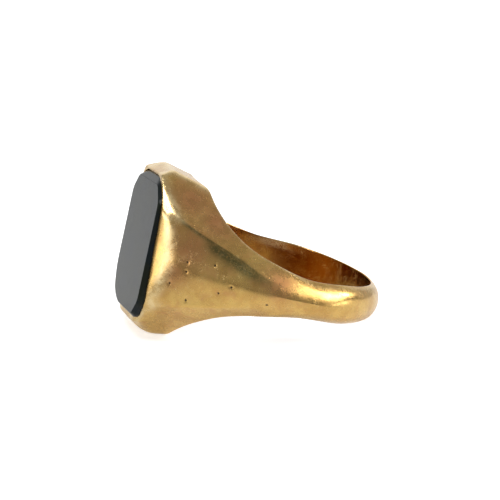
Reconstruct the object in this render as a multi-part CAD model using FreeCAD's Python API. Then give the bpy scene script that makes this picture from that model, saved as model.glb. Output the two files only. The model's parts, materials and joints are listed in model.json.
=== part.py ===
import FreeCAD, Part
import os
from math import acos, atan2, cos, exp, hypot, sin, sqrt
from FreeCAD import Vector

# A signet ring with a dark stone tablet, in millimetres.
# Z is the axis of the finger bore and the origin is the middle of the bore.
# The head with the stone faces -X, the back of the shank is at +X.

# finger bore and shank
bore_radius = 8.75
back_radius = 10.45          # outside of the shank, seen along the bore
back_centre_x = -0.65        # that circle sits towards the head, so the back is the thinnest
shank_half_width = 1.8
shank_crown_depth = 0.95     # rounding of the shank's outside from edge to edge
shank_crown_width = 1.75
shoulder_crown_radius = 12.0  # the shoulders are much flatter across

# head
head_front_x = -12.05        # front of the gold lip around the stone
girdle_x = -11.15            # where the flaring wall is widest, on the long sides
girdle_half_width = 6.4
lip_half_width = 5.4
lip_half_length = 6.4
lip_corner = 6.85            # from the head's axis to the cut corner of the lip
side_flare = (girdle_half_width - lip_half_width) / (girdle_x - head_front_x)
end_flare = 0.7
flare_back_x = -8.5
flare_overlap = 0.8          # the flare no longer touches the body this far before its back
head_half_length = 7.15      # the two end walls at their highest
end_wall_at_bore = 6.85
head_turn = -3.4             # degrees: the head sits slightly twisted about its own axis
head_lean = -2.0             # degrees: and leans a little towards one end

# flat facets that take the shoulders' edges off: |z| + facet_slope * |y| = facet_reach
facet_slope = 0.77
facet_reach = 9.06           # at x = 0
facet_drop = 0.025           # the reach shrinks by this for each mm towards the head

# stone tablet
table_x = -12.5
table_half_width = 4.95
table_half_length = 5.6
table_corner_cut = 1.6
stone_thickness = 1.75
bevel_depth = 0.7
bevel_width = 0.25

# seat under the stone
seat_ledge = 0.6
cement_thickness = 0.25

# blanks that the forms are cut from
blank_half = 20.0
front_margin = 1.0


def cut_rectangle(x, half_width, half_length, cut):
    """Eight corners, in the plane of constant x, of a rectangle with its corners cut off."""
    corners = []
    for side_y, side_z in ((1, 1), (-1, 1), (-1, -1), (1, -1)):
        on_end = Vector(x, side_y * (half_width - cut), side_z * half_length)
        on_side = Vector(x, side_y * half_width, side_z * (half_length - cut))
        corners += [on_side, on_end] if side_y * side_z > 0 else [on_end, on_side]
    return corners


def closed_wire(points):
    return Part.makePolygon(points + points[:1])


def turned_head(shape):
    """Carries a piece of the head into its slightly twisted and leaning place."""
    pivot = Vector(table_x, 0, 0)
    turned = shape.copy()
    turned.rotate(pivot, Vector(1, 0, 0), head_turn)
    turned.rotate(pivot, Vector(0, 1, 0), head_lean)
    return turned


def shank_outline(z):
    """Outline of the ring seen along the bore, at height z: an arc with two tangent lines."""
    radius = back_radius - shank_crown_depth * (1 - exp(-(z / shank_crown_width)**2))
    level = min(abs(z), 4.0)
    shoulder_crown = shoulder_crown_radius - sqrt(shoulder_crown_radius**2 - level**2)
    reach_x = girdle_x - back_centre_x
    reach_y = girdle_half_width - shoulder_crown
    turn = atan2(reach_y, reach_x) - acos(radius / hypot(reach_x, reach_y))
    centre = Vector(back_centre_x, 0, z)
    upper = centre + Vector(cos(turn), sin(turn), 0) * radius
    along = Vector(-sin(turn), cos(turn), 0)
    upper_front = upper + along * ((head_front_x - front_margin - upper.x) / along.x)
    lower = Vector(upper.x, -upper.y, z)
    lower_front = Vector(upper_front.x, -upper_front.y, z)
    back = centre + Vector(radius, 0, 0)
    edges = [
        Part.LineSegment(lower_front, lower).toShape(),
        Part.Arc(lower, back, upper).toShape(),
        Part.LineSegment(upper, upper_front).toShape(),
        Part.LineSegment(upper_front, lower_front).toShape(),
    ]
    return Part.Wire(edges)


def crowned_form():
    """The outlines stacked along Z, so that the outside is crowned from edge to edge."""
    upper_heights = [0.7, 1.3, 1.9, 2.6, 3.4, 4.4, 6.0, 7.6]
    heights = [-z for z in reversed(upper_heights)] + [0] + upper_heights
    return Part.makeLoft([shank_outline(z) for z in heights], True, False)


def width_form():
    """The ring seen from its side: how wide it is in Z along its length, carried through Y."""
    back_x = back_centre_x + back_radius + front_margin
    front_x = head_front_x - front_margin
    upper = [
        Vector(front_x, -blank_half, head_half_length),
        Vector(-9.9, -blank_half, head_half_length),
        Vector(-bore_radius, -blank_half, end_wall_at_bore),
        Vector(-7.6, -blank_half, 6.3),
        Vector(-1.7, -blank_half, 2.6),
        Vector(0.8, -blank_half, shank_half_width + 0.1),
        Vector(3.5, -blank_half, shank_half_width),
        Vector(back_x, -blank_half, shank_half_width),
    ]
    lower = [Vector(p.x, p.y, -p.z) for p in reversed(upper)]
    return Part.Face(closed_wire(upper + lower)).extrude(Vector(0, 2 * blank_half, 0))


def facet_form():
    """Four flat facets, as a tent over and under the ring."""
    def section(x):
        reach = facet_reach + facet_drop * x
        wide = 10.8
        low = reach - facet_slope * wide
        corners = [(0, reach), (wide, low), (wide, -low), (0, -reach), (-wide, -low), (-wide, low)]
        return closed_wire([Vector(x, y, z) for y, z in corners])

    return Part.makeLoft([section(head_front_x - front_margin), section(back_radius)], True, True)


def flare_form():
    """Eight-sided flare that opens backwards from the lip around the stone."""
    def section(x):
        ahead = x - head_front_x
        half_width = lip_half_width + side_flare * ahead
        half_length = lip_half_length + end_flare * ahead
        corner = (lip_corner + end_flare * ahead) * sqrt(2)
        cut = half_width + half_length - corner
        return closed_wire(cut_rectangle(x, half_width, half_length, cut))

    flare = Part.makeLoft([section(head_front_x), section(flare_back_x)], True, True)
    behind = Part.makeBox(blank_half, 2 * blank_half, 2 * blank_half,
                          Vector(flare_back_x - flare_overlap, -blank_half, -blank_half))
    return turned_head(flare).fuse(behind)


def stone_ring(x, grow):
    corner = table_corner_cut + grow * (2 - sqrt(2))
    points = cut_rectangle(x, table_half_width + grow, table_half_length + grow, corner)
    return closed_wire(points)


def stone_solid():
    """Tablet with cut corners and a bevel all round, its flat table facing the front."""
    girdle = stone_ring(table_x + bevel_depth, bevel_width)
    bevel = Part.makeLoft([stone_ring(table_x, 0), girdle], True, True)
    body = Part.Face(girdle).extrude(Vector(stone_thickness - bevel_depth, 0, 0))
    return turned_head(bevel.fuse(body).removeSplitter())


def cement_solid():
    """Setter's cement in a shallow recess, inside the ledge that carries the stone."""
    outline = stone_ring(table_x + stone_thickness, bevel_width - seat_ledge)
    return turned_head(Part.Face(outline).extrude(Vector(cement_thickness, 0, 0)))


def gold_solid(stone, cement):
    """One casting: shank, shoulders and head, bored for the finger and cut for the stone."""
    blank = crowned_form().common(width_form()).common(facet_form()).common(flare_form())
    bore = Part.makeCylinder(bore_radius, 2 * blank_half, Vector(0, 0, -blank_half))
    return blank.cut(bore).cut(stone).cut(cement)


os.makedirs("parts", exist_ok=True)
stone_tablet = stone_solid()
cement_bed = cement_solid()
ring_body = gold_solid(stone_tablet, cement_bed)
pieces = {"ring_body": ring_body, "stone_tablet": stone_tablet, "cement_bed": cement_bed}
for name, shape in pieces.items():
    solid = shape.Solids[0]
    box = solid.optimalBoundingBox()
    print(name, "solids", len(shape.Solids), "valid", solid.isValid(), "volume", round(solid.Volume, 2))
    print("  size", round(box.XLength, 2), round(box.YLength, 2), round(box.ZLength, 2))
    solid.exportStep("parts/" + name + ".step")
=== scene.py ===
import bmesh
import bpy
import json
import math
import numpy as np
from mathutils import Matrix, Vector


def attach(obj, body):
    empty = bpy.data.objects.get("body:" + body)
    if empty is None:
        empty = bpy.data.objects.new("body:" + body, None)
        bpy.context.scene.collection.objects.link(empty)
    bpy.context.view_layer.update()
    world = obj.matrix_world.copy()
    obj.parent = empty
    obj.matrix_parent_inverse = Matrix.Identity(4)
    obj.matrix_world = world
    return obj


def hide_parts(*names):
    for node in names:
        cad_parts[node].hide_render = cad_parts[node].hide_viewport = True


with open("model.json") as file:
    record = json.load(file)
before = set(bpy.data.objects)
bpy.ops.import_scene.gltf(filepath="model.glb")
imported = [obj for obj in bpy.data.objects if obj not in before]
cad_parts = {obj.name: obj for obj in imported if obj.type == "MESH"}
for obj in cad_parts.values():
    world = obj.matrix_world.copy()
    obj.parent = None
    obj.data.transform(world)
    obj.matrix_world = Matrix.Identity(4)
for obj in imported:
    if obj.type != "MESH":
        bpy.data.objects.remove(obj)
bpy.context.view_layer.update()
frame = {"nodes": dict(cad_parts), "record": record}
mm = 0.001
boreRadius = frame["record"]["mounts"][0]["dims"]["r_mm"]

# lengths are in millimetres, angles in degrees, until a mesh is made
shank = {
    "backRadius": 10.45,       # outside of the shank, seen along the bore
    "backCentre": -0.65,       # that circle sits a little towards the head
    "halfWidth": 1.74,
    "widening": 0.012,         # the shank widens towards the shoulders
    "wideningFrom": 3.6,
    "wideningPower": 2.5,
    "crownDepth": 0.95,        # how far the outside rounds off from edge to edge
    "crownWidth": 1.75,
    "edgeRound": (0.2, 0.75),  # its edges at the head, and how much rounder they are behind
    "edgeRoundAlong": (-8.0, 1.0),
    "boreEdgeRound": 0.16,
}
shoulder = {
    "slope": 0.85,             # the flat facets: |z| + slope * |y| = reach
    "reach": 9.02,             # at the head, and growing steadily from there
    "growth": 0.082,
    "growthFrom": -9.2,
    "growthSoftness": 2.0,
    "farDrop": 0.22,           # the far shoulder is filed a little slimmer
    "farDropAcross": (1.0, 7.0),
    "farDropAlong": (-10.5, -8.0),
    "farCorner": 0.55,         # but its end at the head is fuller
    "farCornerAcross": (0.5, 3.0),
    "farCornerAlong": (8.0, 11.8),
    "crownRadius": 14.0,
    "crownHeight": 5.0,        # above this height the side is no longer crowned
    "creaseRound": 0.1,        # crisp near the head
    "creaseFade": 1.5,         # and gone in the shank
    "creaseFadeAlong": (-5.0, 1.5),
}
head = {
    "front": -12.05,           # front of the lip
    "frontTilt": 0.03,         # its lower end lies deeper than its upper end
    "girdle": -11.15,
    "girdleHalfWidth": 6.4,
    "lipHalfWidth": 5.27,
    "upperLip": 6.5,           # half length towards the upper end, and to the lower one
    "lowerLip": 6.38,
    "lipCorner": (0.807, 0.59, 6.44, 0.535),   # shares of |y| and |z|, their sum, how fast it opens
    "lowerCorner": 0.4,        # the lower corners stand out more
    "lowerCornerBelow": (0.0, 3.0),
    "cornerRound": (0.15, 0.6),         # between the flare's eight sides, and how much rounder below
    "softBelow": (1.0, 5.0),   # how far below the middle the lower end's softness grows
    "upperFlare": 0.5,
    "lowerFlare": 0.9,
    "upperWall": (7.22, -11.3, 0.24),   # height, where it starts to fall, how steeply
    "lowerWall": (7.12, -9.6, 0.25),
    "wallSoftness": 0.2,
    "wallRound": 0.3,
    "turn": -3.4,              # against the shank, about the ring's length
    "lean": -2.0,              # and about its width
    "flareRound": 0.14,        # at its upper end
    "lowerRound": 0.8,         # at its lower end
    "girdleRound": 0.4,        # and so much more at the middle height
    "girdleRoundWithin": (0.5, 4.6),
    "lipRound": 0.12,
    "handWork": 0.018,         # unevenness of the whole surface
}


# Larger of two signed distances, the corner between them rounded to a radius: inside both by
# more than the radius it is the plain larger one. Where they overlap the corner's square it is
# the length of the two overlaps less the radius.
def roundMax(a, b, radius):
    overlap = np.hypot(np.maximum(a + radius, 0), np.maximum(b + radius, 0))
    return np.minimum(np.maximum(a, b), -radius) + overlap


# 0 before start, 1 after end, 3t^2 - 2t^3 between them
def smoothStep(value, start, end):
    t = np.clip((value - start) / (end - start), 0, 1)
    return t * t * (3 - 2 * t)


# 0 well below zero and the value itself well above it: half the sum of the value and a hyperbola
def softRamp(value, softness):
    return 0.5 * (value + np.sqrt(value**2 + softness))


# A slow, gentle unevenness: two products of sines of the place added up, at most about 1
def handWork(x, y, z):
    return (np.sin(1.1 * x + 0.7 * z + 0.4) * np.sin(0.9 * y - 0.5 * z + 1.7)
            + 0.6 * np.sin(1.9 * z + 0.6 * y) * np.sin(1.5 * x - 1.2 * y + 0.8)) / 1.6


# The head's turn about x, and then its lean about y, as one matrix
def headRotation():
    return np.array(Matrix.Rotation(math.radians(head["lean"]), 3, "Y")
                    @ Matrix.Rotation(math.radians(head["turn"]), 3, "X"))


# The head's own coordinates: its axis is -x and its table is square to it
def intoHead(x, y, z):
    turned = headRotation().T @ np.stack([x - stone["table"], y, z]).reshape(3, -1)
    turned[0] += stone["table"]
    return turned.reshape((3,) + np.shape(x))


# And back: turned about the middle of the table into the ring's coordinates
def outOfHead(points):
    moved = points - np.array([stone["table"], 0, 0])
    return moved @ headRotation().T + np.array([stone["table"], 0, 0])


# Distance outside the outline seen along the bore: a circle for the shank, its tangent line
# for each shoulder. Away from the middle height the circle shrinks as a bell curve.
def sideDistance(x, y, z):
    s, c = shank, shoulder
    radius = s["backRadius"] - s["crownDepth"] * (1 - np.exp(-(z / s["crownWidth"])**2))
    level = np.minimum(np.abs(z), c["crownHeight"])
    halfWidth = head["girdleHalfWidth"] - c["crownRadius"] + np.sqrt(c["crownRadius"]**2 - level**2)
    reachX = head["girdle"] - s["backCentre"]
    turn = np.arctan2(halfWidth, reachX) - np.arccos(radius / np.hypot(reachX, halfWidth))
    acrossX, acrossY = x - s["backCentre"], np.abs(y)
    ahead = acrossY * np.cos(turn) - acrossX * np.sin(turn)
    line = acrossX * np.cos(turn) + acrossY * np.sin(turn) - radius
    circle = np.hypot(acrossX, acrossY) - radius
    return np.where(ahead > 0, line, circle)


# Distance above a flat facet: |z| + slope |y| less its reach, over the length of (1, slope).
# The reach is level along the head and then rises as a soft ramp. On the far side smooth steps
# make it less along the shoulder and more at its end by the head.
def facetDistance(x, y, z):
    c = shoulder
    past = x - c["growthFrom"]
    reach = c["reach"] + c["growth"] * softRamp(past, c["growthSoftness"])
    reach = reach - c["farDrop"] * smoothStep(y, *c["farDropAcross"]) * smoothStep(x, *c["farDropAlong"])
    reach = reach + (c["farCorner"] * smoothStep(y, *c["farCornerAcross"])
                     * smoothStep(-x, *c["farCornerAlong"]))
    return (np.abs(z) + c["slope"] * np.abs(y) - reach) / math.hypot(1, c["slope"])


# Height over the ring's edge, which widens towards the head as a power of the distance
def widthDistance(x, z):
    s = shank
    wide = s["halfWidth"] + s["widening"] * np.maximum(s["wideningFrom"] - x, 0)**s["wideningPower"]
    return np.abs(z) - wide


# Height over the head's two end walls, level near the stone and then falling as a soft ramp
def endWallDistance(x, z):
    def wall(shape):
        height, start, fall = shape
        return height - fall * softRamp(x - start, head["wallSoftness"])
    return np.abs(z) - np.where(z > 0, wall(head["upperWall"]), wall(head["lowerWall"]))


# Distance outside the eight-sided flare that opens backwards from the lip: the rounded largest
# of the distances from two sides, two ends and four corners, each a slanting plane
def flareDistance(x, y, z):
    h = head
    x, y, z = intoHead(x, y, z)
    ahead = x - h["front"] + h["frontTilt"] * z
    sideFlare = (h["girdleHalfWidth"] - h["lipHalfWidth"]) / (h["girdle"] - h["front"])
    side = (np.abs(y) - h["lipHalfWidth"] - sideFlare * ahead) / math.hypot(1, sideFlare)
    upper = (z - h["upperLip"] - h["upperFlare"] * ahead) / math.hypot(1, h["upperFlare"])
    lower = (-z - h["lowerLip"] - h["lowerFlare"] * ahead) / math.hypot(1, h["lowerFlare"])
    end = np.maximum(upper, lower)
    shareY, shareZ, reach, opens = h["lipCorner"]
    corner = shareY * np.abs(y) + shareZ * np.abs(z) - reach - opens * ahead
    corner = corner - h["lowerCorner"] * smoothStep(-z, *h["lowerCornerBelow"])
    corner = corner / math.hypot(1, opens)
    crisp, softer = h["cornerRound"]
    soft = crisp + softer * smoothStep(-z, *h["softBelow"])
    eightSides = roundMax(roundMax(side, corner, soft), end, soft)
    return roundMax(eightSides, -ahead, h["lipRound"])


# The whole casting as one signed distance: the rounded largest of all the limits above, with
# the hand's unevenness added, and of the bore
def goldDistance(x, y, z):
    crisp, softer = shank["edgeRound"]
    edge = crisp + softer * smoothStep(x, *shank["edgeRoundAlong"])
    crease = shoulder["creaseRound"] + shoulder["creaseFade"] * smoothStep(x, *shoulder["creaseFadeAlong"])
    body = roundMax(sideDistance(x, y, z), facetDistance(x, y, z), crease)
    body = roundMax(body, widthDistance(x, z), edge)
    body = roundMax(body, endWallDistance(x, z), head["wallRound"])
    lower = smoothStep(-z, *head["softBelow"])
    girdle = 1 - smoothStep(np.abs(z), *head["girdleRoundWithin"])
    soft = head["flareRound"] + (head["lowerRound"] - head["flareRound"]) * lower
    soft = soft + head["girdleRound"] * girdle
    body = roundMax(body, flareDistance(x, y, z), soft)
    body = body + head["handWork"] * handWork(x, y, z)
    return roundMax(body, boreRadius - np.hypot(x, y), shank["boreEdgeRound"])


# Where a ray from a start leaves the solid: the stretch that holds the surface is halved
# again and again
def rayLength(distance, start, direction, longest, steps=34):
    near = np.zeros(np.broadcast(start[0], direction[0]).shape)
    far = np.full(near.shape, float(longest))
    for _ in range(steps):
        middle = (near + far) / 2
        inside = distance(*[s + d * middle for s, d in zip(start, direction)]) < 0
        near, far = np.where(inside, middle, near), np.where(inside, far, middle)
    return (near + far) / 2


# Even steps along a square's edge, from (1, -1) up its outer side and round
def squareRound(t):
    t = np.mod(t, 1.0) * 4
    a = np.select([t < 1, t < 2, t < 3], [1, 3 - 2 * t, -1], 2 * t - 7)
    b = np.select([t < 1, t < 2, t < 3], [2 * t - 1, 1, 5 - 2 * t], -1)
    return a, b


# Corners of the quads of a grid: each point with its next neighbours. The columns always close
# into a ring, and the rows where that is asked for.
def gridQuads(rows, columns, closeRows):
    index = np.arange(rows * columns).reshape(rows, columns)
    uu, vv = np.meshgrid(np.arange(rows if closeRows else rows - 1), np.arange(columns), indexing="ij")
    nextU, nextV = (uu + 1) % rows, (vv + 1) % columns
    quads = np.stack([index[uu, vv], index[nextU, vv], index[nextU, nextV], index[uu, nextV]], -1)
    return quads.reshape(-1, 4)


# A grid of points that closes both ways, as a mesh
def meshFromGrid(name, points):
    rows, columns = points.shape[:2]
    quads = gridQuads(rows, columns, True)
    mesh = bpy.data.meshes.new(name)
    mesh.vertices.add(rows * columns)
    mesh.vertices.foreach_set("co", (points.reshape(-1) * mm).astype(np.float32))
    mesh.loops.add(quads.size)
    mesh.loops.foreach_set("vertex_index", quads.reshape(-1).astype(np.int32))
    mesh.polygons.add(len(quads))
    mesh.polygons.foreach_set("loop_start", np.arange(0, quads.size, 4, dtype=np.int32))
    mesh.update(calc_edges=True)
    mesh.validate()
    return mesh


# A new object at the origin
def addObject(name, mesh):
    item = bpy.data.objects.new(name, mesh)
    bpy.context.scene.collection.objects.link(item)
    return item


grid = {
    "round": 430,              # sections round the ring
    "section": 212,            # points round each section
    "trial": 900,              # points a section is first tried with
    "tableSteps": 2001,        # of the table that spaces the sections
    "headShare": 1.9,          # sections stand closer at the head
    "headWithin": (0.35, 0.8),          # where that begins, and is full, by the cosine from the head
    "cornerShare": 2.2,        # points crowd where a section turns
    "smoothing": 14,           # how often that crowding is blurred
    "thinnestWall": 0.3,       # the outside is looked for beyond this
    "outward": 6,              # the longest ray outwards, upwards, and round a section
    "upward": 9,
    "anyWay": 12,              # and round the stone's outline
}


# The casting on a grid: an angle round the bore by a place round the section. From the middle
# of each section rays leave towards a stretched square and stop at the surface, then the
# points are spread again so that they stand closer at corners: in even steps of a sum of
# the length and of the square root of the turning, blurred.
def ringGrid():
    raw = np.linspace(0, 2 * np.pi, grid["tableSteps"])
    crowd = 1 + grid["headShare"] * smoothStep(-np.cos(raw), *grid["headWithin"])
    along = np.concatenate([[0], np.cumsum((crowd[1:] + crowd[:-1]) / 2)])
    angle = np.interp(np.arange(grid["round"]) / grid["round"] * along[-1], along, raw)[:, None]
    outX, outY = np.cos(angle), np.sin(angle)
    flat = np.zeros_like(angle)
    wallStart = boreRadius + grid["thinnestWall"]
    outer = wallStart + rayLength(goldDistance, (outX * wallStart, outY * wallStart, flat),
                                  (outX, outY, flat), grid["outward"])
    middle = (boreRadius + outer) / 2
    start = (outX * middle, outY * middle, flat)
    top = rayLength(goldDistance, start, (flat, flat, flat + 1), grid["upward"])

    # points of every section at places t along the square
    def section(t):
        a, b = squareRound(t)
        outward, upward = a * (outer - boreRadius) / 2, b * top
        length = np.hypot(outward, upward)
        outward, upward = outward / length, upward / length
        direction = (outX * outward, outY * outward, upward)
        far = rayLength(goldDistance, start, direction, grid["anyWay"])
        return np.stack([s + d * far for s, d in zip(start, direction)], -1)

    t = np.arange(grid["trial"])[None, :] / grid["trial"] * np.ones_like(angle)
    trial = section(t)
    step = np.roll(trial, -1, 1) - trial
    length = np.linalg.norm(step, axis=2)
    heading = step / length[..., None]
    turning = 1 - np.clip((heading * np.roll(heading, 1, 1)).sum(-1), -1, 1)
    turning = np.sqrt(turning)
    for _ in range(grid["smoothing"]):
        turning = (np.roll(turning, 1, 1) + turning * 2 + np.roll(turning, -1, 1)) / 4
        turning = (np.roll(turning, 1, 0) + turning * 2 + np.roll(turning, -1, 0)) / 4
    total = length.sum(1, keepdims=True)
    share = length / total + grid["cornerShare"] * turning / turning.sum(1, keepdims=True)
    reached = np.concatenate([np.zeros_like(angle), np.cumsum(share, 1)], 1)
    reached /= reached[:, -1:]
    ends = np.arange(grid["trial"] + 1) / grid["trial"]
    wanted = np.arange(grid["section"]) / grid["section"]
    spread = np.stack([np.interp(wanted, row, ends) for row in reached])
    return section(spread)


# What casting, wear and time left on the gold, and where shade and a highlight are painted on it
marks = {
    "pits": [(-9.45, -6.9, 0.62), (-9.3, -6.95, -0.1), (-5.6, -8.6, -0.2), (-8.85, -7.05, -2.45),
             (-10.35, -6.4, -1.5), (-7.3, -7.8, 0.95), (-2.75, -9.85, -1.0), (-6.5, -8.2, -1.1)],
    "pitRadius": 0.13,
    "pitDepth": 0.1,
    "rosyPatches": [((-9.6, -4.2, 5.3), 2.2), ((-7.6, -5.8, 4.3), 1.9), ((-9.5, -6.9, 1.7), 2.1),
                    ((-10.2, -6.4, -0.6), 1.3), ((-8.4, 7.6, 0.6), 2.2), ((-2.2, -10.0, 1.1), 1.5),
                    ((4.5, 8.2, -0.4), 2.6)],
    "wornWidth": (0.16, 0.25, 0.3),     # at the bore's edges, the lip and the end walls' rims
    "wornDepth": 0.4,
    "tarnish": (0.28, 0.42),   # painted shade (the dark reflection under the crease) with some tarnish: how far under the crease its middle lies, and how wide it is
    "tarnishGrows": (1.0, 4.5),         # from the shank towards the head
    "tarnishEnds": (7.6, 9.2),
    "dirt": (0.07, 0.14),      # the thin dark line right under the crease, painted shade with some grime
    "dirtGrows": (1.0, 3.5),
    "dirtEnds": (10.4, 11.2),
    "dirtShare": 0.9,
    "sideBlend": (-0.08, 0.05),         # both stop at the crease
    # the painted shade under the crease lies on the upper side only
    "upperOnly": (0.2, 1.2),
    "rimMiddle": 3.4,          # a painted highlight lies on the bore's upper edge about here
    "rimReach": 2.0,
    "rimHeight": (0.7, 1.3),
    "rimShare": 0.8,
    "shadeEnds": (4.0, 7.0),   # and painted shade makes it darker from here towards the head
    "boreWithin": 0.1,         # what lies this near the bore's radius is its wall
}


# Worn where two surfaces meet: a bell curve of the difference between their signed distances,
# for the bore's edges, the lip and the rims of the end walls. The largest of the three counts,
# and fades with the depth under the outside as one more bell curve.
def edgeWear(points):
    x, y, z = [points[..., i] for i in range(3)]
    sides = np.maximum(sideDistance(x, y, z), facetDistance(x, y, z))
    wall, flare = endWallDistance(x, z), flareDistance(x, y, z)
    outside = np.maximum(np.maximum(sides, wall), flare)
    meeting = [(boreRadius - np.hypot(x, y), outside), (flare, np.maximum(sides, wall)), (wall, sides)]
    under = np.clip(-outside, 0, 1)
    edges = [np.exp(-((a - b) / width)**2) for (a, b), width in zip(meeting, marks["wornWidth"])]
    return np.max(edges, axis=0) * np.exp(-(under / marks["wornDepth"])**2)


# How much painted shade (the dark reflection just under the crease) and some tarnish darken the side: the
# larger of a wide and a narrow bell curve just under the crease below each facet, on the upper side only,
# both fading towards the shank and the head
def creaseTarnish(points):
    x, y, z = [points[..., i] for i in range(3)]
    under = -facetDistance(x, y, z)
    onSide = smoothStep(sideDistance(x, y, z) + under, *marks["sideBlend"])

    def band(kind):
        middle, width = marks[kind]
        along = smoothStep(-x, *marks[kind + "Grows"]) * (1 - smoothStep(-x, *marks[kind + "Ends"]))
        return np.exp(-((under - middle) / width)**2) * along
    both = np.maximum(band("tarnish"), marks["dirtShare"] * band("dirt"))
    return both * onSide * smoothStep(z, *marks["upperOnly"])


# Soft round patches of rosy skin: the largest of the bell curves about each middle
def rosyPatches(points):
    patches = [np.exp(-(np.linalg.norm(points - np.array(middle), axis=-1) / radius)**2)
               for middle, radius in marks["rosyPatches"]]
    return np.max(patches, axis=0)


# How strong the painted highlight is near the bore's upper edge: a ramp in height by a bell curve along it
def boreRim(points):
    along = (points[..., 0] - marks["rimMiddle"]) / marks["rimReach"]
    return marks["rimShare"] * smoothStep(points[..., 2], *marks["rimHeight"]) * np.exp(-along**2)


# The ring's grid with each pit pressed in as a bell curve of the distance from its middle, and
# the masks that the gold reads stored at its points
def buildGold():
    surface = ringGrid()
    pits = np.zeros(surface.shape[:2])
    for pit in marks["pits"]:
        nearest = np.argmin(np.linalg.norm(surface - np.array(pit), axis=-1))
        away = np.linalg.norm(surface - surface.reshape(-1, 3)[nearest], axis=-1)
        pits = np.maximum(pits, np.exp(-(away / marks["pitRadius"])**2))
    fromAxis = np.linalg.norm(surface[..., :2], axis=-1)
    points = surface.copy()
    points[..., :2] += -surface[..., :2] / fromAxis[..., None] * (pits * marks["pitDepth"])[..., None]
    mesh = meshFromGrid("goldRing", points[:, ::-1])
    insideBore = np.hypot(surface[..., 0], surface[..., 1]) < boreRadius + marks["boreWithin"]
    layers = {"edgeWear": edgeWear(surface), "creaseTarnish": creaseTarnish(surface),
              "rosy": rosyPatches(surface), "pits": pits, "bore": insideBore.astype(float),
              "shade": 1 - smoothStep(surface[..., 0], *marks["shadeEnds"]),
              "boreRim": boreRim(surface)}
    for name, values in layers.items():
        layer = mesh.attributes.new(name, "FLOAT", "POINT")
        layer.data.foreach_set("value", values[:, ::-1].reshape(-1).astype(np.float32))
    return addObject("goldRing", mesh)


stone = {
    "table": -12.5,            # x of its flat front, before the head is turned
    "rise": 0.05,              # the tablet sits this far towards the upper end
    "halfWidth": 4.98,
    "halfLength": 5.6,
    "cornerCut": 1.35,
    "wornCorner": 0.5,         # the far lower corner is cut that much more
    "wornRound": 1.2,          # and rounded to this radius
    "bevelDepth": 0.5,
    "bevelWidth": 0.06,        # on the long sides
    "endBevelWidth": (0.7, 0.35),      # at the upper end, and at the lower one
    "cornerBevelCut": (0.76, 0.3),     # the cut corners grow by this much less than the sides
    "backTaper": 0.25,         # its back is that much smaller all round
    "back": -10.75,
    "cornerRound": 0.3,
    "footRound": (0.8, 0.35),
    "edgeRound": 0.035,
    "clearance": 0.015,        # between the stone and its seat
    "cementDepth": 0.27,       # room for the cement behind it
}


# Distance from the middle to the stone's outline in each direction, a share of the bevel out from
# the table: the rounded largest of the two half sizes and the cut corner
def stoneOutline(angle, bevelShare, grow):
    s = stone
    upper = np.sin(angle) > 0
    bevel, less, foot = [np.where(upper, *s[k]) for k in ("endBevelWidth", "cornerBevelCut", "footRound")]
    halfWidth = s["halfWidth"] + bevelShare * s["bevelWidth"] + grow
    halfLength = s["halfLength"] + bevelShare * bevel + grow
    worn = (np.cos(angle) > 0) & ~upper
    cutMore = s["wornCorner"] * worn
    corner = (halfWidth + halfLength - s["cornerCut"] - cutMore - bevelShare * less) / math.sqrt(2)
    cornerRound = s["cornerRound"] + bevelShare * (foot - s["cornerRound"])
    cornerRound = np.where(worn, s["wornRound"], cornerRound)

    def outside(y, z):
        side = np.abs(y) - halfWidth
        end = np.abs(z) - halfLength
        cut = (np.abs(y) + np.abs(z)) / math.sqrt(2) - corner
        return roundMax(roundMax(side, cut, cornerRound), end, cornerRound)
    zero = np.zeros_like(angle)
    return rayLength(outside, (zero, zero), (np.cos(angle), np.sin(angle)), grid["anyWay"])


# One ring for each row of a profile: its x, how far down the bevel it is, how much larger than
# the outline, and its share of the way out from the middle
def stoneRings(profile, around=240):
    angle = np.arange(around) / around * 2 * np.pi
    rings = []
    for x, bevelShare, grow, share in profile:
        far = stoneOutline(angle, bevelShare, grow) * share
        across, up = np.cos(angle) * far, np.sin(angle) * far + stone["rise"]
        rings.append(np.stack([np.full(around, x), across, up], -1))
    return np.array(rings)


# Rings joined into one closed skin: quads between them, and a fan to the mean of each end ring
def closedShell(name, rings):
    count, around = rings.shape[:2]
    points = outOfHead(rings).reshape(-1, 3) * mm
    ends = [np.arange(around), np.arange(around) + (count - 1) * around]
    middles = [points[ring].mean(axis=0) for ring in ends]
    fans = [np.stack([ring, np.roll(ring, -1), np.full(around, len(points) + i)], -1)
            for i, ring in enumerate(ends)]
    faces = gridQuads(count, around, False).tolist() + np.concatenate(fans).tolist()
    mesh = bpy.data.meshes.new(name)
    mesh.from_pydata(np.vstack([points, middles]).tolist(), [], faces)
    mesh.validate()
    recalcOutside(mesh)
    return addObject(name, mesh)


# All faces turned outwards
def recalcOutside(mesh):
    work = bmesh.new()
    work.from_mesh(mesh)
    bmesh.ops.recalc_face_normals(work, faces=work.faces)
    work.to_mesh(mesh)
    work.free()


# The tablet as rings over the table, round its edge, down the bevel, down the wall that narrows
# to the back, and in over the back
def buildStone():
    s = stone
    r, taper = s["edgeRound"], s["backTaper"]
    profile = [(s["table"], 0, 0, share) for share in (0.1, 0.3, 0.5, 0.7, 0.85, 0.95)]
    profile += [(s["table"], 0, -2 * r, 1), (s["table"], 0, -r, 1)]
    profile += [(s["table"] + 0.3 * r, 0, -0.2 * r, 1)]
    profile += [(s["table"] + s["bevelDepth"] * d, d, 0, 1) for d in (0.08, 0.3, 0.5, 0.7, 1)]
    profile += [(s["back"] - r, 1, -taper, 1), (s["back"], 1, -taper - r, 1)]
    profile += [(s["back"], 1, -taper, share) for share in (0.7, 0.3)]
    return closedShell("stoneTablet", stoneRings(profile))


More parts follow.
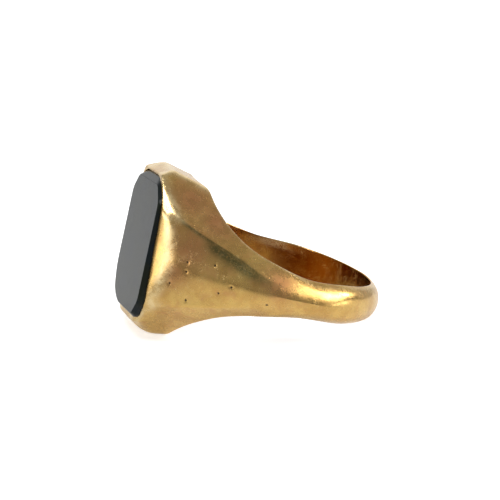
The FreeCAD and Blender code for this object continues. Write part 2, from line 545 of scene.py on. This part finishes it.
# The seat for stone and cement, cut out of the ring: the stone's wall with a little clearance,
# carried on in front of the lip and behind the stone
def cutPocket(ring):
    s = stone
    foot = s["table"] + s["bevelDepth"]
    gap = s["clearance"]
    narrow = gap - s["backTaper"]
    profile = [(s["table"] - 1, 1, gap, 1), (foot, 1, gap, 1), (s["back"], 1, narrow, 1),
               (s["back"] + s["cementDepth"], 1, narrow, 1)]
    cutter = closedShell("pocketCutter", stoneRings(profile, 120))
    cut = ring.modifiers.new("pocket", "BOOLEAN")
    cut.operation, cut.solver, cut.object = "DIFFERENCE", "EXACT", cutter
    depsgraph = bpy.context.evaluated_depsgraph_get()
    result = bpy.data.meshes.new_from_object(ring.evaluated_get(depsgraph))
    ring.modifiers.clear()
    ring.data = result
    bpy.data.objects.remove(cutter)


goldRing = buildGold()
recalcOutside(goldRing.data)
print("gold ring surface", len(goldRing.data.polygons))
stoneTablet = buildStone()
print("stone", len(stoneTablet.data.polygons))
cutPocket(goldRing)
print("pocket cut", len(goldRing.data.polygons))
for item in (goldRing, stoneTablet):
    item.data.shade_smooth()


# A node with its settings, and a number or a link for each of its named sockets
def addNode(tree, kind, settings=None, values=None):
    node = tree.nodes.new("ShaderNode" + kind)
    for name, value in (settings or {}).items():
        setattr(node, name, value)
    for name, value in (values or {}).items():
        if isinstance(value, bpy.types.NodeSocket):
            tree.links.new(value, node.inputs[name])
        else:
            node.inputs[name].default_value = value
    return node


# One step of arithmetic
def maths(tree, operation, a, b):
    return addNode(tree, "Math", {"operation": operation}, {0: a, 1: b}).outputs[0]


# From color a to color b; these are the color sockets of the Mix node
def mixColor(tree, share, a, b):
    return addNode(tree, "Mix", {"data_type": "RGBA"}, {0: share, 6: a, 7: b}).outputs[2]


# From one stretch of values to another, held at both ends
def remap(tree, value, fromLow, fromHigh, toLow=0.0, toHigh=1.0):
    return addNode(tree, "MapRange", {"interpolation_type": "SMOOTHSTEP"}, {
        "Value": value, "From Min": fromLow, "From Max": fromHigh, "To Min": toLow, "To Max": toHigh,
    }).outputs["Result"]


# A material with its main shader's fixed values
def newMaterial(name, settings):
    material = bpy.data.materials.new(name)
    material.use_nodes = True
    tree = material.node_tree
    skin = tree.nodes["Principled BSDF"]
    for socket, value in settings.items():
        skin.inputs[socket].default_value = value
    return material, tree, skin


# Object coordinates in millimetres
def placeInMm(tree):
    place = addNode(tree, "TexCoord").outputs["Object"]
    return addNode(tree, "Mapping", None, {"Vector": place, "Scale": (1 / mm,) * 3}).outputs[0]


# Cloudy noise with this many waves to the millimetre
def noise(tree, place, scale, detail=3.0, roughness=0.55):
    return addNode(tree, "TexNoise", None, {
        "Vector": place, "Scale": scale, "Detail": detail, "Roughness": roughness}).outputs["Fac"]


# A height in front of the shader as its normal
def addBump(tree, skin, height, strength, distance):
    bump = addNode(tree, "Bump", None, {"Height": height, "Strength": strength, "Distance": distance})
    tree.links.new(bump.outputs["Normal"], skin.inputs["Normal"])


# Hairline scratches: noise drawn out long in three directions, of which only the narrow
# stretch about its middle value is kept, and broken up by a slower noise
def scratchGroup():
    group = bpy.data.node_groups.new("hairScratches", "ShaderNodeTree")
    group.interface.new_socket("Place", in_out="INPUT", socket_type="NodeSocketVector")
    group.interface.new_socket("Scale", in_out="INPUT", socket_type="NodeSocketFloat")
    group.interface.new_socket("Mask", in_out="OUTPUT", socket_type="NodeSocketFloat")
    outer = group.nodes.new("NodeGroupInput")
    result = None
    for turn, stretch in (((0.5, 0.2, 0.9), (0.35, 5, 5)), ((1.1, 0.7, -0.4), (5, 0.4, 5)),
                          ((-0.3, 0.9, 0.3), (5, 5, 0.45))):
        way = addNode(group, "Mapping", None, {"Vector": outer.outputs["Place"], "Rotation": turn})
        way = addNode(group, "Mapping", None, {"Vector": way.outputs[0], "Scale": stretch})
        lines = noise(group, way.outputs[0], outer.outputs["Scale"], 1.0)
        close = maths(group, "ABSOLUTE", maths(group, "SUBTRACT", lines, 0.5), 0.0)
        thin = remap(group, close, 0.0, 0.012, 1.0, 0.0)
        broken = noise(group, addNode(group, "Mapping", None, {
            "Vector": outer.outputs["Place"], "Location": turn}).outputs[0], 1.1, 2.0)
        thin = maths(group, "MULTIPLY", thin, remap(group, broken, 0.52, 0.66))
        result = thin if result is None else maths(group, "MAXIMUM", result, thin)
    group.links.new(result, group.nodes.new("NodeGroupOutput").inputs["Mask"])
    return group


hairScratches = scratchGroup()


# The scratches' mask, for one material's own scale
def scratches(tree, place, scale):
    node = addNode(tree, "Group", {"node_tree": hairScratches}, {"Place": place, "Scale": scale})
    return node.outputs["Mask"]


goldLook = {
    "clean": (0.66, 0.43, 0.13, 1),
    "worn": (0.86, 0.68, 0.36, 1),
    "rosy": (0.53, 0.25, 0.095, 1),
    "brown": (0.55, 0.33, 0.095, 1),
    "dark": (0.10, 0.085, 0.028, 1),
    "inside": (0.66, 0.34, 0.05, 1),
    "insideDark": (0.26, 0.09, 0.008, 1),
    "pit": (0.06, 0.035, 0.02, 1),
    "roughness": (0.19, 0.30),
    "tarnishRougher": 0.12,
    "boreSmoother": 0.1,
    "speckleRougher": 0.06,
    "broadScale": 0.42,        # waves to the millimetre
    "blotchScale": 1.3,
    "speckleScale": 7.0,
    "grainScale": 16.0,
    "scratchScale": 2.2,
    "scratchShare": 0.5,
    "grainHeight": 0.25,       # shares of the bump
    "speckleHeight": 0.3,
    "scratchHeight": 0.35,
    "bumpStrength": 0.25,
    "bumpHeight": 0.00003,     # in metres
    "coat": 0.2,
    "coatRoughness": 0.14,
}


# Gold: brown clouds, rosy blotches and patches, painted shade with some tarnish under the crease,
# speckles, a deeper bore with painted shade towards the head and a painted highlight on its upper edge,
# pale worn edges and scratches, dark pits
def makeGold():
    g = goldLook
    material, tree, skin = newMaterial("gold", {
        "Metallic": 1.0, "Coat Weight": g["coat"], "Coat Roughness": g["coatRoughness"]})
    place = placeInMm(tree)
    layer = {name: addNode(tree, "Attribute", {"attribute_name": name}).outputs["Fac"]
             for name in ("edgeWear", "creaseTarnish", "rosy", "pits", "bore", "shade", "boreRim")}
    broad = noise(tree, place, g["broadScale"], 4.0)
    blotch = noise(tree, place, g["blotchScale"], 5.0, 0.65)
    speckle = noise(tree, place, g["speckleScale"], 4.0, 0.7)
    grain = noise(tree, place, g["grainScale"], 3.0, 0.6)
    lines = scratches(tree, place, g["scratchScale"])

    def times(a, b):
        return maths(tree, "MULTIPLY", a, b)
    color = mixColor(tree, remap(tree, broad, 0.40, 0.62), g["clean"], g["brown"])
    color = mixColor(tree, remap(tree, blotch, 0.50, 0.72, 0.0, 0.5), color, g["rosy"])
    rosy = times(layer["rosy"], remap(tree, blotch, 0.3, 0.6, 0.75, 1.0))
    color = mixColor(tree, rosy, color, g["rosy"])
    # painted shade: the dark reflection under the crease, with some tarnish, darkens the colour here
    tarnish = times(layer["creaseTarnish"], remap(tree, speckle, 0.3, 0.55, 0.55, 1.0))
    color = mixColor(tree, tarnish, color, g["dark"])
    color = mixColor(tree, remap(tree, speckle, 0.60, 0.74, 0.0, 0.55), color, g["brown"])
    # painted shade: the bore's colour is darker towards the head
    shade = times(layer["shade"], remap(tree, broad, 0.3, 0.6, 0.6, 1.0))
    inner = mixColor(tree, shade, g["inside"], g["insideDark"])
    # painted highlight: the bore's upper edge takes the pale worn colour
    inner = mixColor(tree, layer["boreRim"], inner, g["worn"])
    color = mixColor(tree, layer["bore"], color, inner)
    bright = times(layer["edgeWear"], remap(tree, blotch, 0.35, 0.6, 0.35, 0.9))
    color = mixColor(tree, bright, color, g["worn"])
    color = mixColor(tree, times(lines, g["scratchShare"]), color, g["worn"])
    color = mixColor(tree, remap(tree, layer["pits"], 0.25, 0.8), color, g["pit"])
    tree.links.new(color, skin.inputs["Base Color"])
    low, high = g["roughness"]
    rough = remap(tree, blotch, 0.3, 0.7, low, high)
    rough = maths(tree, "ADD", rough, times(tarnish, g["tarnishRougher"]))
    rough = maths(tree, "SUBTRACT", rough, times(layer["bore"], g["boreSmoother"]))
    rough = maths(tree, "ADD", rough, times(speckle, g["speckleRougher"]))
    tree.links.new(rough, skin.inputs["Roughness"])
    height = maths(tree, "ADD", times(grain, g["grainHeight"]), times(speckle, g["speckleHeight"]))
    height = maths(tree, "SUBTRACT", height, times(lines, g["scratchHeight"]))
    addBump(tree, skin, height, g["bumpStrength"], g["bumpHeight"])
    return material


stoneLook = {
    "body": (0.015, 0.018, 0.0125, 1),
    "blue": (0.012, 0.0165, 0.019, 1),
    "smudge": (0.022, 0.025, 0.021, 1),
    "roughness": (0.10, 0.17),
    "scratchRougher": 0.15,
    "cloudScale": 0.5,         # waves to the millimetre
    "smearScale": 1.6,
    "scratchScale": 1.6,
    "smearHeight": 0.3,        # shares of the bump
    "scratchHeight": 0.4,
    "bumpStrength": 0.3,
    "bumpHeight": 0.00001,     # in metres
    "ior": 1.165,
}


# Near-black polished stone: bluish clouds, greyer smears that are a little rougher, and scratches
def makeStone():
    g = stoneLook
    material, tree, skin = newMaterial("darkStone", {"IOR": g["ior"]})
    place = placeInMm(tree)
    cloud = noise(tree, place, g["cloudScale"], 4.0)
    smear = noise(tree, place, g["smearScale"], 3.0)
    lines = scratches(tree, place, g["scratchScale"])
    color = mixColor(tree, remap(tree, cloud, 0.4, 0.65), g["body"], g["blue"])
    color = mixColor(tree, remap(tree, smear, 0.58, 0.75, 0.0, 0.8), color, g["smudge"])
    tree.links.new(color, skin.inputs["Base Color"])
    low, high = g["roughness"]
    rough = remap(tree, smear, 0.35, 0.7, low, high)
    rough = maths(tree, "ADD", rough, maths(tree, "MULTIPLY", lines, g["scratchRougher"]))
    tree.links.new(rough, skin.inputs["Roughness"])
    height = maths(tree, "SUBTRACT", maths(tree, "MULTIPLY", smear, g["smearHeight"]),
                   maths(tree, "MULTIPLY", lines, g["scratchHeight"]))
    addBump(tree, skin, height, g["bumpStrength"], g["bumpHeight"])
    return material


cementLook = {
    "dry": (0.17, 0.10, 0.055, 1),
    "damp": (0.09, 0.05, 0.03, 1),
    "roughness": (0.65, 0.9),
    "lumpScale": 2.5,
    "bumpStrength": 0.7,
    "bumpHeight": 0.00006,     # in metres
}


# Dull lumpy cement, damp in places
def makeCement():
    g = cementLook
    material, tree, skin = newMaterial("cement", {"Specular IOR Level": 0.3})
    place = placeInMm(tree)
    lumps = noise(tree, place, g["lumpScale"], 5.0, 0.65)
    color = mixColor(tree, remap(tree, lumps, 0.35, 0.65), g["dry"], g["damp"])
    tree.links.new(color, skin.inputs["Base Color"])
    low, high = g["roughness"]
    tree.links.new(remap(tree, lumps, 0.3, 0.7, low, high), skin.inputs["Roughness"])
    addBump(tree, skin, lumps, g["bumpStrength"], g["bumpHeight"])
    return material


frame["nodes"]["cement_bed"].material_slots[0].material = makeCement()
for piece, look, node, slot in ((goldRing, makeGold(), "ring_body", "gold"),
                                (stoneTablet, makeStone(), "stone_tablet", "dark_stone")):
    piece.data.materials.clear()
    piece.data.materials.append(look)
    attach(piece, "root")
    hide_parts(node)
print("materials made")

# the ring lies on its side, so the camera is rolled against the bore's axis
view = {
    "azimuth": -17.49,
    "elevation": 9.3,
    "roll": 15.48,
    "lens": 144,
    "sensor": 36,
    "offset": (1.76, 1.98, 175.86),     # of the bore's middle: right, down and away, in mm
    "clip": (0.005, 20),
}


# The camera's three directions from its angles, turned by the roll, and its place along them

def placeCamera():
    az, el, roll = [math.radians(view[k]) for k in ("azimuth", "elevation", "roll")]
    back = Vector((math.sin(az) * math.cos(el), -math.cos(az) * math.cos(el), math.sin(el)))
    level = (-back).cross(Vector((0, 0, 1))).normalized()
    up = back.cross(level)
    right = level * math.cos(roll) + up * math.sin(roll)
    up = back.cross(right)
    x, y, z = view["offset"]
    place = (right * -x + up * y + back * z) * mm
    data = bpy.data.cameras.new("camera")
    data.lens, data.sensor_width = view["lens"], view["sensor"]
    data.clip_start, data.clip_end = view["clip"]
    camera = bpy.data.objects.new("camera", data)
    camera.matrix_world = Matrix.Translation(place) @ Matrix((right, up, back)).transposed().to_4x4()
    bpy.context.scene.collection.objects.link(camera)
    bpy.context.scene.camera = camera


placeCamera()
print("camera placed")

# The floor runs through the head's lower end and the shank's lower edge
floorShape = {
    "low": (-10.0, -7.2),
    "high": (9.4, -1.72),
    "size": 8000.0,            # half its side
    "seen": 0.62,              # its own glow where it is seen
    "mirrored": 0.28,          # and in the metal
    "paper": 0.78,
    "dimPaper": 0.3,
    "dimTowards": (-0.17, -0.985, 0),
    "dimFrom": 0.005,
    "dimTo": 0.045,
}


# White paper. It looks evenly white, and what the metal mirrors of it is dimmer towards the viewer, a
# painted shade.
def makePaper():
    f = floorShape
    material, tree, skin = newMaterial("paper", {
        "Roughness": 0.9, "Specular IOR Level": 0.0, "Emission Color": (1, 1, 1, 1)})
    place = addNode(tree, "TexCoord").outputs["Object"]
    ahead = addNode(tree, "VectorMath", {"operation": "DOT_PRODUCT"}, {
        0: place, 1: f["dimTowards"]})
    seen = addNode(tree, "LightPath").outputs["Is Camera Ray"]
    # painted shade in what the metal mirrors: the paper darkens towards the viewer
    dim = remap(tree, ahead.outputs["Value"], f["dimFrom"], f["dimTo"])
    dim = maths(tree, "MULTIPLY", dim, maths(tree, "SUBTRACT", 1.0, seen))
    color = mixColor(tree, dim, (f["paper"],) * 3 + (1,), (f["dimPaper"],) * 3 + (1,))
    tree.links.new(color, skin.inputs["Base Color"])
    mirrored = maths(tree, "MULTIPLY", maths(tree, "SUBTRACT", 1.0, dim), f["mirrored"])
    glow = addNode(tree, "Mix", None, {"Factor": seen, "A": mirrored, "B": f["seen"]})
    tree.links.new(glow.outputs["Result"], skin.inputs["Emission Strength"])
    return material


# One large square about the head's lower end, in the plane that slopes up to the shank's edge
def buildFloor():
    (lowX, lowZ), (highX, highZ) = floorShape["low"], floorShape["high"]
    slope = (highZ - lowZ) / (highX - lowX)
    along = np.array([1, 0, slope]) / math.hypot(1, slope)
    across = np.array([0, 1, 0])
    centre = np.array([lowX, 0, lowZ])
    corners = [centre + (along * a + across * b) * floorShape["size"]
               for a, b in ((-1, -1), (1, -1), (1, 1), (-1, 1))]
    mesh = bpy.data.meshes.new("floor")
    mesh.from_pydata((np.array(corners) * mm).tolist(), [], [(0, 1, 2, 3)])
    floor = addObject("floor", mesh)
    floor.data.materials.append(makePaper())


buildFloor()
print("floor laid")

# Each soft light is a disc: the way to it, half the angle that it covers, and its brightness
lights = {
    "left": {"toward": (-0.95, -0.29, 0.04), "spread": 18, "glow": 2.8},
    "upperLeft": {"toward": (-0.547, -0.272, 0.787), "spread": 7, "glow": 18.0},
    "upperRight": {"toward": (0.63, -0.31, 0.7), "spread": 12, "glow": 9.0},
    "spot": {"toward": (0.7, 0.03, 0.72), "spread": 5.5, "glow": 20.0},
    "right": {"toward": (0.93, -0.38, 0.05), "spread": 21, "glow": 3.5},
    "above": {"toward": (0.35, 0.1, 0.93), "spread": 40, "glow": 0.15},
    "behind": {"toward": (0.1, 0.9, 0.35), "spread": 30, "glow": 0.45},
}
lightDistance = 0.5            # in metres
# What the metal mirrors elsewhere: a middling room, with darker and lighter parts
room = {
    "middle": 0.25,
    "parts": [((-0.45, -0.8, 0.4), 0.55, 0.95, 0.38), ((0.1, 1.0, 0.1), 0.2, 0.9, 0.6),
              ((-0.85, 0.45, 0.1), 0.75, 0.97, 0.2)],
    "seen": 1.0,
}


# A disc facing the ring, as wide as its angle makes it, with the power that gives its brightness
def addLight(name, toward, spread, glow):
    size = 2 * lightDistance * math.tan(math.radians(spread))
    data = bpy.data.lights.new(name, "AREA")
    data.shape, data.size = "DISK", size
    data.energy = glow * math.pi**2 * size**2 / 4
    light = bpy.data.objects.new(name, data)
    away = Vector(toward).normalized()
    place = Matrix.Translation(away * lightDistance)
    light.matrix_world = place @ away.to_track_quat("Z", "Y").to_matrix().to_4x4()
    light.visible_camera = False
    bpy.context.scene.collection.objects.link(light)


# The room's brightness by direction: each part takes over as a smooth step of the cosine
# between the direction and its own
def buildRoom():
    world = bpy.data.worlds.new("studio")
    bpy.context.scene.world = world
    world.use_nodes = True
    tree = world.node_tree
    way = addNode(tree, "TexCoord").outputs["Generated"]
    level = room["middle"]
    for toward, start, end, value in room["parts"]:
        cosine = addNode(tree, "VectorMath", {"operation": "DOT_PRODUCT"}, {
            0: way, 1: Vector(toward).normalized()}).outputs["Value"]
        share = remap(tree, cosine, start, end)
        level = addNode(tree, "Mix", None, {"Factor": share, "A": level, "B": value}).outputs[0]
    seen = addNode(tree, "LightPath").outputs["Is Camera Ray"]
    level = addNode(tree, "Mix", None, {"Factor": seen, "A": level, "B": room["seen"]}).outputs[0]
    tree.links.new(level, tree.nodes["Background"].inputs["Color"])


buildRoom()
for name, values in lights.items():
    addLight(name, **values)
bpy.context.scene.view_settings.view_transform = "Standard"
print("room lit")
